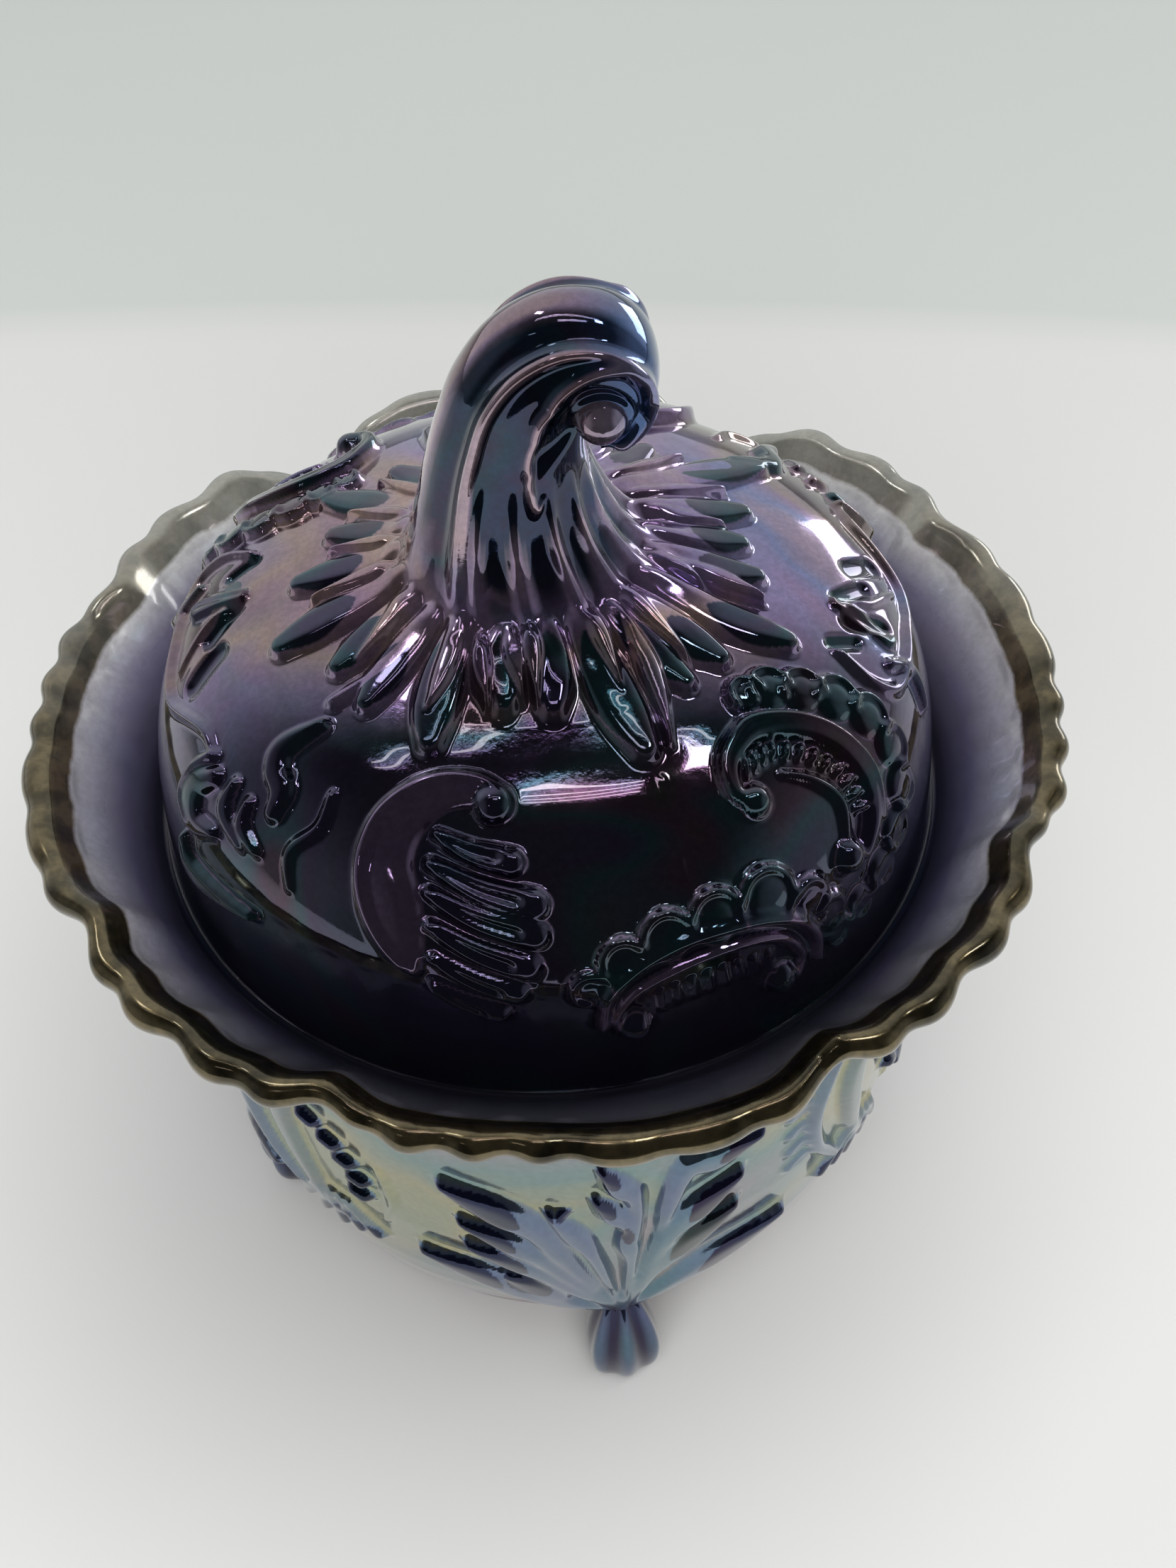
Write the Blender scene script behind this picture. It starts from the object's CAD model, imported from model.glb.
import bpy
import math
import numpy as np
from mathutils import Matrix, Vector


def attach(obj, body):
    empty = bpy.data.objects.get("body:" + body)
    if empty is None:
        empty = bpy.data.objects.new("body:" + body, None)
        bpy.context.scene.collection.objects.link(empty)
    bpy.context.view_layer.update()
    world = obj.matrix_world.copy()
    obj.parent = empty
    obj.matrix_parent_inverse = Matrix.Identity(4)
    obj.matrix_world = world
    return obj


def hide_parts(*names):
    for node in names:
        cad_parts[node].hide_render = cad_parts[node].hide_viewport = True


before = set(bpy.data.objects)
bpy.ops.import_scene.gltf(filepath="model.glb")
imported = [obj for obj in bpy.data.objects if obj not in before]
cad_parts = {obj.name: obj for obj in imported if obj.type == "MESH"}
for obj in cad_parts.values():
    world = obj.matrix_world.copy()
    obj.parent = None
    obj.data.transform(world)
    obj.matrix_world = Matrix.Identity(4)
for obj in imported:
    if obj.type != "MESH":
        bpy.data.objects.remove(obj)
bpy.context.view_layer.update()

scene = bpy.context.scene
rng = np.random.default_rng(7)


# ------------------------------------------------------------------ helpers
# Lengths below are in millimetres and turned into metres when a mesh is made. Azimuth 0 is
# the front (-Y) and 90 is +X.
def smooth1(v, n):
    k = np.ones(n) / n
    p = np.concatenate([np.repeat(v[:1], n // 2, 0), v, np.repeat(v[-1:], n // 2, 0)])
    return np.convolve(p, k, "valid")[: len(v)]


class Profile:
    """A turned profile: a polyline of (r, z), rounded a little, by its arc length."""

    def __init__(self, pts, step=0.25, soft=9, keep=()):
        pts = np.array(pts, float)
        d = np.hypot(*np.diff(pts, axis=0).T)
        s = np.concatenate([[0], np.cumsum(d)])
        self.knots = s
        n = int(s[-1] / step) + 1
        t = np.linspace(0, s[-1], n)
        r, z = np.interp(t, s, pts[:, 0]), np.interp(t, s, pts[:, 1])
        for _ in range(2):
            r2, z2 = smooth1(r, soft), smooth1(z, soft)
            r2[0], z2[0], r2[-1], z2[-1] = r[0], z[0], r[-1], z[-1]
            for k in keep:
                near = np.abs(t - s[k]) < 1.3
                r2[near] += (r[near] - r2[near]) * 0.75
                z2[near] += (z[near] - z2[near]) * 0.75
            r, z = r2, z2
        self.t, self.r, self.z = t, r, z
        self.length = s[-1]

    def at(self, s):
        return np.interp(s, self.t, self.r), np.interp(s, self.t, self.z)


def ring_points(r, z, az):
    r, z = np.asarray(r)[:, None], np.asarray(z)[:, None]
    a = az[None, :]
    return np.stack([r * np.sin(a), -r * np.cos(a), np.broadcast_to(z, (z.shape[0], az.size))], -1)


def ring_normals(P, flip=1.0):
    """Normals of a stack of closed rings."""
    du = np.roll(P, -1, 1) - np.roll(P, 1, 1)
    dv = np.gradient(P, axis=0)
    n = np.cross(du, dv) * flip
    n /= np.maximum(np.linalg.norm(n, axis=-1, keepdims=True), 1e-9)
    return n


def seg_dist(X, poly, rad):
    """Distance from points X to a polyline, over the polyline's radius there: the value
    1 is its edge. poly is (m, 3), rad is (m,)."""
    best = np.full(len(X), 9.0)
    frac = np.zeros(len(X))
    m = len(poly)
    if m == 1:
        return np.linalg.norm(X - poly[0], axis=1) / rad[0], frac
    for i in range(m - 1):
        a, b = poly[i], poly[i + 1]
        ab = b - a
        t = np.clip(((X - a) @ ab) / max(ab @ ab, 1e-9), 0, 1)
        d = np.linalg.norm(X - (a + t[:, None] * ab), axis=1) / (rad[i] + (rad[i + 1] - rad[i]) * t)
        w = d < best
        best[w] = d[w]
        frac[w] = (i + t[w]) / (m - 1)
    return best, frac


def curve3(pts, n=6):
    """Catmull-Rom through pts (m, k): n pieces for each span."""
    pts = np.asarray(pts, float)
    if len(pts) < 3:
        t = np.linspace(0, 1, n * (len(pts) - 1) + 1)[:, None] if len(pts) == 2 else None
        return pts if t is None else pts[0] + (pts[1] - pts[0]) * t
    P = np.vstack([2 * pts[0] - pts[1], pts, 2 * pts[-1] - pts[-2]])
    out = []
    for i in range(1, len(P) - 2):
        for k in range(n):
            t = k / n
            a, b, c, d = P[i - 1], P[i], P[i + 1], P[i + 2]
            out.append(0.5 * (2 * b + (c - a) * t + (2 * a - 5 * b + 4 * c - d) * t * t
                              + (3 * b - a - 3 * c + d) * t ** 3))
    out.append(P[-2])
    return np.array(out)


def bump(d, shape):
    """Height of a raised form at d, its distance over its radius."""
    e = np.clip(1 - d, 0, None)
    if shape == "round":      # a half-round rib with a soft foot
        return np.where(d < 1, np.sqrt(np.clip(1 - d * d, 0, 1)) * np.clip(e * 6, 0, 1) ** 0.5, 0)
    if shape == "pillow":     # steep side, broad top
        return np.clip(1 - d ** 4, 0, 1) * np.clip(e * 4, 0, 1)
    if shape == "leaf":       # raised rim, hollow middle
        return np.clip(1 - d ** 4, 0, 1) * np.clip(e * 4, 0, 1) * (0.45 + 0.55 * np.clip(d / 0.72, 0, 1) ** 2)
    if shape == "vein":       # a keel along the middle
        return np.clip(1 - d ** 2, 0, 1) * 0.75 + 0.35 * np.exp(-(d / 0.22) ** 2)
    raise ValueError(shape)


class Relief:
    """Raised and sunk forms laid on a stack of rings."""

    def __init__(self, P):
        self.shape = P.shape[:2]
        self.X = P.reshape(-1, 3)
        self.h = np.zeros(len(self.X))
        self.mark = np.zeros(len(self.X))

    def add(self, pts, rad, height, shape="round", fine=5, mark=0.0, tip=None):
        """mark paints the whole form; tip=(start, width) paints an almond at its far end."""
        rad = np.broadcast_to(np.asarray(rad, float), (len(pts),)).copy()
        if len(pts) > 1:
            both = curve3(np.column_stack([pts, rad]), fine)
            pts, rad = both[:, :3], np.maximum(both[:, 3], 0.15)
        else:
            pts = np.asarray(pts, float)
        lo, hi = pts.min(0) - rad.max() * 1.05, pts.max(0) + rad.max() * 1.05
        near = np.where(((self.X >= lo) & (self.X <= hi)).all(1))[0]
        if not len(near):
            return
        d, fr = seg_dist(self.X[near], pts, rad)
        b = bump(d, shape)
        if height > 0:
            v = b * height
            old = self.h[near]
            hi_, lo_ = np.maximum(old, v), np.minimum(old, v)
            k = 0.35
            soft = np.clip(k - (hi_ - lo_), 0, k) ** 2 / (4 * k)
            self.h[near] = hi_ + np.where((lo_ > 0.05), soft, 0)
        else:
            self.h[near] += b * height
        if mark:
            self.mark[near] = np.maximum(self.mark[near], np.clip((1.02 - d) * 6, 0, 1) * mark)
        elif height > 0:
            self.mark[near] *= 1 - np.clip((1.0 - d) * 6, 0, 1)
        if tip is not None:
            f0, wide, power = tip
            q = np.clip((fr - f0) / (1.13 - f0), 0, 1)
            w = wide * np.sin(np.pi * q) ** power
            self.mark[near] = np.maximum(self.mark[near], np.clip((w - d) * 7, 0, 1) * (q > 0))

    def grid(self):
        return self.h.reshape(self.shape), self.mark.reshape(self.shape)


def soften(h, n_rows, n_cols):
    """Small blur over a grid of rings, so that no edge is sharper than pressed glass."""
    for _ in range(2):
        h = sum(np.roll(h, k, 1) for k in range(-n_cols, n_cols + 1)) / (2 * n_cols + 1)
        pad = np.pad(h, ((n_rows, n_rows), (0, 0)), mode="edge")
        h = sum(pad[k:k + h.shape[0]] for k in range(2 * n_rows + 1)) / (2 * n_rows + 1)
    return h


def make_mesh(name, parts, mats):
    """parts: list of (P rings, start pole or None, end pole or None, {attribute: grid},
    material index). Poles close the stack at its ends. Rings run anticlockwise."""
    verts, faces, fmat, attrs = [], [], [], {}
    base = 0
    names = sorted({k for p in parts for k in p[3]})
    for P, pole_a, pole_b, att, mi in parts:
        K, N = P.shape[:2]
        idx = base + np.arange(K * N).reshape(K, N)
        verts.append(P.reshape(-1, 3))
        a, b = idx[:-1], idx[1:]
        q = np.stack([a, np.roll(a, -1, 1), np.roll(b, -1, 1), b], -1).reshape(-1, 4)
        faces.append(q)
        if np.isscalar(mi):
            fmat.append(np.full(len(q), mi))
        else:
            fmat.append(np.repeat(np.asarray(mi)[:-1], N))
        extra = []
        for pole, row, fwd in ((pole_a, idx[0], False), (pole_b, idx[-1], True)):
            if pole is None:
                continue
            c = base + K * N + len(extra)
            extra.append(pole)
            nxt = np.roll(row, -1)
            tri = np.stack([row, nxt, np.full(N, c), np.full(N, -1)], -1) if fwd else \
                np.stack([nxt, row, np.full(N, c), np.full(N, -1)], -1)
            faces.append(tri)
            m0 = mi if np.isscalar(mi) else (mi[-1] if fwd else mi[0])
            fmat.append(np.full(N, m0))
        if extra:
            verts.append(np.array(extra, float))
        for k in names:
            g = att.get(k)
            g = np.zeros((K, N)) if g is None else g
            col = [g.reshape(-1)]
            ex = []
            if pole_a is not None:
                ex.append(g[0].mean())
            if pole_b is not None:
                ex.append(g[-1].mean())
            if ex:
                col.append(np.array(ex))
            attrs.setdefault(k, []).extend(col)
        base += K * N + len(extra)
    V = np.concatenate(verts) * 0.001
    F = np.concatenate(faces)
    M = np.concatenate(fmat)
    quad = F[:, 3] >= 0
    sizes = np.where(quad, 4, 3)
    me = bpy.data.meshes.new(name)
    me.vertices.add(len(V))
    me.vertices.foreach_set("co", V.ravel().astype(np.float32))
    loops = F.reshape(-1)[(np.stack([np.ones(len(F), bool)] * 3 + [quad], -1)).reshape(-1)]
    me.loops.add(len(loops))
    me.loops.foreach_set("vertex_index", loops.astype(np.int32))
    me.polygons.add(len(F))
    starts = np.concatenate([[0], np.cumsum(sizes)[:-1]])
    me.polygons.foreach_set("loop_start", starts.astype(np.int32))
    me.polygons.foreach_set("material_index", M.astype(np.int32))
    me.update(calc_edges=True)
    me.validate()
    me.polygons.foreach_set("use_smooth", np.ones(len(me.polygons), bool))
    for k in names:
        at = me.attributes.new(k, "FLOAT", "POINT")
        at.data.foreach_set("value", np.concatenate(attrs[k]).astype(np.float32))
    for m in mats:
        me.materials.append(m)
    ob = bpy.data.objects.new(name, me)
    scene.collection.objects.link(ob)
    return ob


def S(x):
    return np.clip(x, 0, 1) ** 2 * (3 - 2 * np.clip(x, 0, 1))


# ------------------------------------------------------------------ node material helper
class Mat:
    def __init__(self, name):
        self.m = bpy.data.materials.new(name)
        self.m.use_nodes = True
        self.t = self.m.node_tree
        self.bsdf = self.t.nodes["Principled BSDF"]
        self.x = -300

    def node(self, kind, **props):
        n = self.t.nodes.new(kind)
        self.x -= 40
        n.location = (self.x, 0)
        for k, v in props.items():
            setattr(n, k, v)
        return n

    def link(self, a, b):
        self.t.links.new(a, b)

    def set(self, **vals):
        for k, v in vals.items():
            self.bsdf.inputs[k.replace("_", " ")].default_value = v

    def pos(self):
        return self.node("ShaderNodeTexCoord").outputs["Object"]

    def attr(self, name):
        return self.node("ShaderNodeAttribute", attribute_name=name).outputs["Fac"]

    def noise(self, scale, detail=3.0, rough=0.55, dist=0.0, vec=None):
        n = self.node("ShaderNodeTexNoise")
        n.inputs["Scale"].default_value = scale
        n.inputs["Detail"].default_value = detail
        n.inputs["Roughness"].default_value = rough
        n.inputs["Distortion"].default_value = dist
        self.link(vec if vec is not None else self.pos(), n.inputs["Vector"])
        return n.outputs["Fac"]

    def ramp(self, fac, stops, mode="LINEAR"):
        n = self.node("ShaderNodeValToRGB")
        n.color_ramp.interpolation = mode
        el = n.color_ramp.elements
        while len(el) < len(stops):
            el.new(0.5)
        for e, (p, c) in zip(el, stops):
            e.position = p
            e.color = (*c, 1.0) if not np.isscalar(c) else (c, c, c, 1.0)
        self.link(fac, n.inputs["Fac"])
        return n.outputs["Color"]

    def mix(self, fac, a, b, blend="MIX"):
        n = self.node("ShaderNodeMix", data_type="RGBA", blend_type=blend)
        for sock, v in ((n.inputs[0], fac), (n.inputs[6], a), (n.inputs[7], b)):
            if isinstance(v, bpy.types.NodeSocket):
                self.link(v, sock)
            elif np.isscalar(v):
                sock.default_value = v
            else:
                sock.default_value = (*v, 1.0)
        return n.outputs[2]

    def math(self, op, a, b=0.0, c=0.0, clamp=False):
        n = self.node("ShaderNodeMath", operation=op, use_clamp=clamp)
        for sock, v in zip(n.inputs, (a, b, c)):
            if isinstance(v, bpy.types.NodeSocket):
                self.link(v, sock)
            else:
                sock.default_value = v
        return n.outputs[0]

    def remap(self, v, a0, a1, b0, b1):
        n = self.node("ShaderNodeMapRange", clamp=True)
        for i, x in enumerate((v, a0, a1, b0, b1)):
            if isinstance(x, bpy.types.NodeSocket):
                self.link(x, n.inputs[i])
            else:
                n.inputs[i].default_value = x
        return n.outputs[0]

    def bump(self, height, strength, distance, normal=None):
        n = self.node("ShaderNodeBump")
        n.inputs["Strength"].default_value = strength
        n.inputs["Distance"].default_value = distance
        self.link(height, n.inputs["Height"])
        if normal is not None:
            self.link(normal, n.inputs["Normal"])
        return n.outputs["Normal"]


# ------------------------------------------------------------------ materials
def lid_material():
    m = Mat("lid_iridised_glass")
    p = m.pos()
    big = m.noise(21.0, 2.0, 0.5, 0.8, p)
    blot = m.noise(48.0, 1.5, 0.5, 0.4, p)
    mid = m.noise(110.0, 4.0, 0.6, 0.5, p)
    fine = m.noise(1100.0, 3.0, 0.65, 0.0, p)
    rel = m.attr("relief")
    lustre = m.ramp(big, [(0.30, (0.27, 0.16, 0.27)), (0.42, (0.34, 0.24, 0.20)), (0.52, (0.24, 0.17, 0.31)),
                          (0.62, (0.15, 0.18, 0.34)), (0.74, (0.31, 0.20, 0.24))])
    tone = m.ramp(mid, [(0.32, (0.72, 0.70, 0.78)), (0.55, (1.0, 0.97, 1.0)), (0.72, (1.18, 1.06, 0.98))])
    lustre = m.mix(0.8, lustre, tone, "MULTIPLY")
    deep = m.ramp(blot, [(0.30, (0.018, 0.032, 0.064)), (0.45, (0.034, 0.024, 0.066)), (0.56, (0.016, 0.056, 0.072)),
                         (0.66, (0.054, 0.026, 0.052)), (0.76, (0.034, 0.040, 0.024))])
    k = m.remap(rel, 0.25, 0.75, 0.0, 1.0)
    xyz = m.node("ShaderNodeSeparateXYZ")
    m.link(p, xyz.inputs[0])
    hgt = m.math("ADD", xyz.outputs[2], m.remap(big, 0.3, 0.7, -0.004, 0.004))
    front = m.remap(xyz.outputs[1], -0.005, -0.030, 0.0, 1.0)
    hgt = m.math("ADD", hgt, m.math("MULTIPLY", front, -0.0062))
    low = m.math("MULTIPLY", m.remap(hgt, 0.1395, 0.1325, 0.0, 0.95), m.remap(front, 0.0, 1.0, 0.45, 1.0))
    middle = m.math("MULTIPLY", m.remap(xyz.outputs[1], -0.010, -0.024, 0.0, 0.75),
                    m.remap(m.math("ABSOLUTE", xyz.outputs[0]), 0.026, 0.010, 0.0, 1.0))
    low = m.math("MAXIMUM", low, middle)
    stem = m.remap(xyz.outputs[2], 0.148, 0.158, 0.0, 1.0)
    k = m.math("MAXIMUM", k, m.math("MULTIPLY", stem, m.remap(rel, 0.06, 0.42, 0.0, 1.0)))
    deep = m.mix(m.math("MULTIPLY", stem, 0.6), deep, m.ramp(mid, [(0.35, (0.004, 0.010, 0.030)), (0.55, (0.008, 0.030, 0.075)),
                                                                    (0.70, (0.030, 0.014, 0.055))]))
    lustre = m.mix(low, lustre, deep)
    lustre = m.mix(m.math("MULTIPLY", stem, 0.7), lustre, (0.46, 0.33, 0.34))
    crest = m.remap(xyz.outputs[2], 0.174, 0.184, 0.0, 0.65)
    lustre = m.mix(crest, lustre, (0.13, 0.07, 0.085))
    blue = m.math("MULTIPLY", m.remap(xyz.outputs[0], 0.007, 0.016, 0.0, 1.0), stem)
    lustre = m.mix(m.math("MULTIPLY", blue, 0.7), lustre, (0.17, 0.22, 0.42))
    deep = m.mix(m.math("MULTIPLY", blue, 0.85), deep, (0.055, 0.115, 0.290))
    sheen = m.math("MULTIPLY", m.remap(rel, 0.07, 0.15, 0.0, 1.0), m.remap(rel, 0.26, 0.40, 1.0, 0.0))
    lustre = m.mix(m.math("MULTIPLY", sheen, 0.6), lustre, m.mix(mid, (0.17, 0.11, 0.25), (0.27, 0.19, 0.29)))
    base = m.mix(k, lustre, deep)
    m.link(m.mix(0.5, base, m.remap(fine, 0.38, 0.62, 0.80, 1.25), "MULTIPLY"), m.bsdf.inputs["Base Color"])
    kk = m.math("MAXIMUM", k, low)
    m.link(m.remap(kk, 0.0, 1.0, 0.90, 0.96), m.bsdf.inputs["Metallic"])
    rough = m.math("ADD", m.remap(mid, 0.3, 0.7, 0.07, 0.15), m.math("MULTIPLY", m.math("MAXIMUM", kk, stem), -0.055))
    m.link(rough, m.bsdf.inputs["Roughness"])
    m.set(IOR=1.45, Coat_Weight=0.8, Coat_Roughness=0.01, Coat_IOR=1.5)
    ripple = m.math("ADD", m.math("MULTIPLY", mid, 0.7), m.math("MULTIPLY", fine, 0.3))
    m.link(m.bump(ripple, 0.06, 0.0005), m.bsdf.inputs["Normal"])
    return m.m


def bowl_material():
    m = Mat("bowl_iridised_glass")
    p = m.pos()
    big = m.noise(19.0, 2.0, 0.5, 1.0, p)
    mid = m.noise(130.0, 4.0, 0.62, 0.2, p)
    fine = m.noise(900.0, 3.0, 0.6, 0.0, p)
    gilt = m.attr("gilt")
    skin = m.attr("skin")
    rel = m.attr("relief")
    deep = m.attr("deep")
    inner = m.ramp(deep, [(0.0, (0.54, 0.54, 0.50)), (0.14, (0.38, 0.37, 0.40)), (0.38, (0.29, 0.285, 0.37)),
                          (0.64, (0.100, 0.095, 0.180)), (1.0, (0.010, 0.013, 0.028))])
    back_wall = m.ramp(deep, [(0.0, (0.86, 0.86, 0.82)), (0.25, (0.66, 0.65, 0.66)), (0.5, (0.24, 0.21, 0.36)),
                              (1.0, (0.012, 0.014, 0.030))])
    outer = m.ramp(big, [(0.30, (0.31, 0.37, 0.25)), (0.43, (0.41, 0.38, 0.23)), (0.53, (0.20, 0.31, 0.30)),
                         (0.62, (0.33, 0.31, 0.34)), (0.74, (0.42, 0.34, 0.22))])
    xyz = m.node("ShaderNodeSeparateXYZ")
    m.link(p, xyz.inputs[0])
    outer = m.mix(m.remap(rel, 0.02, 0.22, 0.0, 0.5), outer, (0.12, 0.20, 0.24))
    hue = m.remap(mid, 0.35, 0.65, 0.0, 1.0)
    outer = m.mix(m.remap(xyz.outputs[2], 0.046, 0.022, 0.0, 0.55), outer, m.mix(hue, (0.26, 0.18, 0.26), (0.22, 0.25, 0.24)))
    form = m.ramp(big, [(0.32, (0.008, 0.014, 0.034)), (0.50, (0.012, 0.018, 0.060)), (0.62, (0.020, 0.012, 0.045)),
                        (0.72, (0.012, 0.030, 0.022))])
    edge = m.ramp(big, [(0.35, (0.08, 0.17, 0.32)), (0.52, (0.13, 0.16, 0.32)), (0.68, (0.07, 0.21, 0.28))])
    k = m.remap(rel, 0.55, 0.85, 0.0, 1.0)
    outer = m.mix(m.remap(rel, 0.08, 0.50, 0.0, 0.85), outer, edge)
    outer = m.mix(k, outer, form)
    ring = m.math("MULTIPLY", m.remap(xyz.outputs[2], 0.012, 0.028, 0.85, 0.0), m.remap(rel, 0.3, 0.45, 1.0, 0.0))
    outer = m.mix(ring, outer, (0.30, 0.17, 0.22))
    far = m.remap(xyz.outputs[1], 0.0, 0.055, 0.0, 1.0)
    inner = m.mix(far, inner, back_wall)
    inner = m.mix(m.remap(xyz.outputs[1], -0.034, -0.060, 0.0, 0.88), inner, (0.022, 0.022, 0.034))
    base = m.mix(skin, inner, outer)
    gold = m.ramp(mid, [(0.28, (0.022, 0.020, 0.012)), (0.44, (0.075, 0.062, 0.032)), (0.58, (0.17, 0.135, 0.070)),
                        (0.74, (0.060, 0.055, 0.036))])
    gold = m.mix(m.math("MULTIPLY", far, 0.75), gold, m.mix(mid, (0.24, 0.24, 0.205), (0.52, 0.52, 0.48)))
    g = m.remap(m.math("ADD", gilt, m.remap(mid, 0.3, 0.7, -0.18, 0.18)), 0.25, 0.60, 0.0, 1.0)
    base = m.mix(g, base, gold)
    m.link(m.mix(0.35, base, m.remap(fine, 0.38, 0.62, 0.82, 1.18), "MULTIPLY"), m.bsdf.inputs["Base Color"])
    plain = m.math("SUBTRACT", 1.0, g)
    sk = m.math("MULTIPLY", m.math("MULTIPLY", skin, m.remap(k, 0.0, 1.0, 0.80, 0.90)), plain)
    metal = m.math("ADD", sk, m.math("MULTIPLY", g, m.remap(far, 0.0, 1.0, 0.95, 0.55)), clamp=True)
    m.link(metal, m.bsdf.inputs["Metallic"])
    trans = m.math("MULTIPLY", m.math("MULTIPLY", m.math("ADD", m.math("MULTIPLY", m.remap(deep, 0.0, 0.7, 0.22, 0.62), m.math("SUBTRACT", 1.0, skin)),
                                            m.math("MULTIPLY", skin, 0.72)), m.remap(k, 0, 1, 1, 0)), plain)
    m.link(trans, m.bsdf.inputs["Transmission Weight"])
    rough = m.math("ADD", m.remap(skin, 0.0, 1.0, 0.20, 0.10), m.math("MULTIPLY", g, -0.02))
    rough = m.math("ADD", rough, m.remap(mid, 0.3, 0.7, -0.03, 0.04))
    m.link(rough, m.bsdf.inputs["Roughness"])
    m.set(IOR=1.62, Coat_Weight=0.5, Coat_Roughness=0.015, Coat_IOR=1.5)
    m.link(m.bump(fine, 0.05, 0.0004), m.bsdf.inputs["Normal"])
    return m.m


def floor_material():
    m = Mat("floor_paper")
    p = m.pos()
    n = m.noise(5.0, 3.0, 0.5, 0.0, p)
    near = m.ramp(n, [(0.3, (0.690, 0.693, 0.683)), (0.7, (0.712, 0.715, 0.704))])
    far = m.mix(n, (0.590, 0.618, 0.595), (0.612, 0.638, 0.615))
    xyz = m.node("ShaderNodeSeparateXYZ")
    m.link(p, xyz.inputs[0])
    sq = m.math("MINIMUM", m.math("MULTIPLY", xyz.outputs[0], xyz.outputs[0]), 0.05)
    y = m.math("ADD", xyz.outputs[1], m.math("MULTIPLY", sq, 0.29))
    y = m.math("ADD", y, m.math("MULTIPLY", xyz.outputs[0], 0.105))
    fold = m.remap(y, 0.238, 0.250, 0.0, 1.0)
    crease = m.math("MULTIPLY", m.remap(y, 0.232, 0.240, 0.0, 1.0), m.remap(y, 0.240, 0.252, 1.0, 0.0))
    col = m.mix(fold, near, far)
    col = m.mix(m.math("MULTIPLY", crease, 0.12), col, (0.55, 0.56, 0.53))
    m.link(col, m.bsdf.inputs["Base Color"])
    m.set(Roughness=0.8, Specular_IOR_Level=0.15)
    return m.m


MAT_LID, MAT_BOWL, MAT_FLOOR = lid_material(), bowl_material(), floor_material()

# ------------------------------------------------------------------ lid
LID = Profile([(0, 147.5), (6, 147.3), (12, 146.3), (16, 144.9), (20, 143.6), (25, 142.0), (30, 140.5), (35, 138.9),
               (40, 137.0), (44, 135.1), (47, 133.3), (50, 131.1), (52, 129.3), (54, 126.8), (56, 123.5),
               (57.2, 120.6), (58, 117.6), (58.6, 114), (59, 110), (59.2, 106), (59.4, 102), (60, 97.1)])
N_LID = 960
AZ_LID = np.arange(N_LID) / N_LID * 2 * np.pi


def on_lid(az, s):
    r, z = LID.at(s)
    a = math.radians(az)
    return np.array([r * math.sin(a), -r * math.cos(a), z])


# Control sections of the finial: outer point and inner point of its outline in the XZ
# plane, half thickness along Y, and how square the section is.
SECTIONS = [
    ((-30.0, 140.5), (30.0, 140.5), 30.0, 2.0), ((-25.0, 142.0), (25.2, 142.2), 24.8, 2.0),
    ((-21.2, 143.8), (20.6, 144.0), 19.6, 2.0), ((-18.4, 146.8), (16.0, 146.4), 15.4, 2.1),
    ((-16.4, 151.4), (12.4, 150.6), 12.6, 2.2), ((-14.7, 157.5), (9.8, 156.0), 11.0, 2.2),
    ((-13.1, 164.0), (8.6, 161.6), 10.0, 2.2), ((-11.1, 170.8), (8.3, 167.0), 9.5, 2.2),
    ((-8.3, 178.0), (8.8, 172.2), 9.2, 2.2), ((-3.3, 184.6), (9.4, 173.6), 9.0, 2.2),
    ((3.8, 188.3), (9.9, 174.3), 8.8, 2.2), ((11.2, 187.8), (10.4, 174.7), 8.7, 2.2),
    ((16.3, 184.0), (10.8, 174.7), 8.6, 2.2), ((18.1, 178.6), (11.0, 174.3), 8.4, 2.2),
    ((17.0, 173.2), (10.8, 173.8), 8.2, 2.1), ((13.8, 169.5), (10.3, 173.2), 8.0, 2.0),
    ((10.0, 168.3), (9.6, 172.6), 7.6, 2.0),
]
EYE = (10.0, 175.0)


def finial_rings(count):
    ctl = np.array([[a[0], a[1], b[0], b[1], t, e] for a, b, t, e in SECTIONS], float)
    dense = curve3(ctl, 24)
    d = np.linalg.norm(np.diff(dense[:, :2], axis=0), axis=1) * 0.8 + 0.2 * np.linalg.norm(
        np.diff((dense[:, :2] + dense[:, 2:4]) / 2, axis=0), axis=1)
    s = np.concatenate([[0], np.cumsum(d)])
    t = np.linspace(0, s[-1], count)
    R = np.stack([np.interp(t, s, dense[:, k]) for k in range(6)], -1)
    sa, ca = np.sin(AZ_LID), np.cos(AZ_LID)
    mid = (R[:, 0:2] + R[:, 2:4]) / 2
    half = (R[:, 0:2] - R[:, 2:4]) / 2
    e = R[:, 5][:, None]
    cx = np.sign(-sa)[None] * np.abs(sa)[None] ** (2 / e)
    cy = np.sign(-ca)[None] * np.abs(ca)[None] ** (2 / e)
    x = mid[:, 0:1] + half[:, 0:1] * cx
    z = mid[:, 1:2] + half[:, 1:2] * cx
    y = R[:, 4:5] * cy
    return np.stack([x, y, z], -1), t / s[-1]


# Ridges that run up the stem: azimuth on the section, half width in degrees, height.
RIBS = [(270, 25, 0.9), (326, 6.5, 1.35), (214, 6.5, 1.35)]
ROOT_RIBS = [(0, 5, 1.1), (24, 5, 1.2), (-22, 5, 1.0), (46, 6, 1.3), (68, 7, 1.2), (90, 7, 1.1), (180, 5, 1.1),
             (156, 5, 1.2), (202, 5, 1.0), (134, 6, 1.3), (112, 7, 1.2)]
GROOVES = [(307, 8, 0.9), (233, 8, 0.9)]


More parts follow.
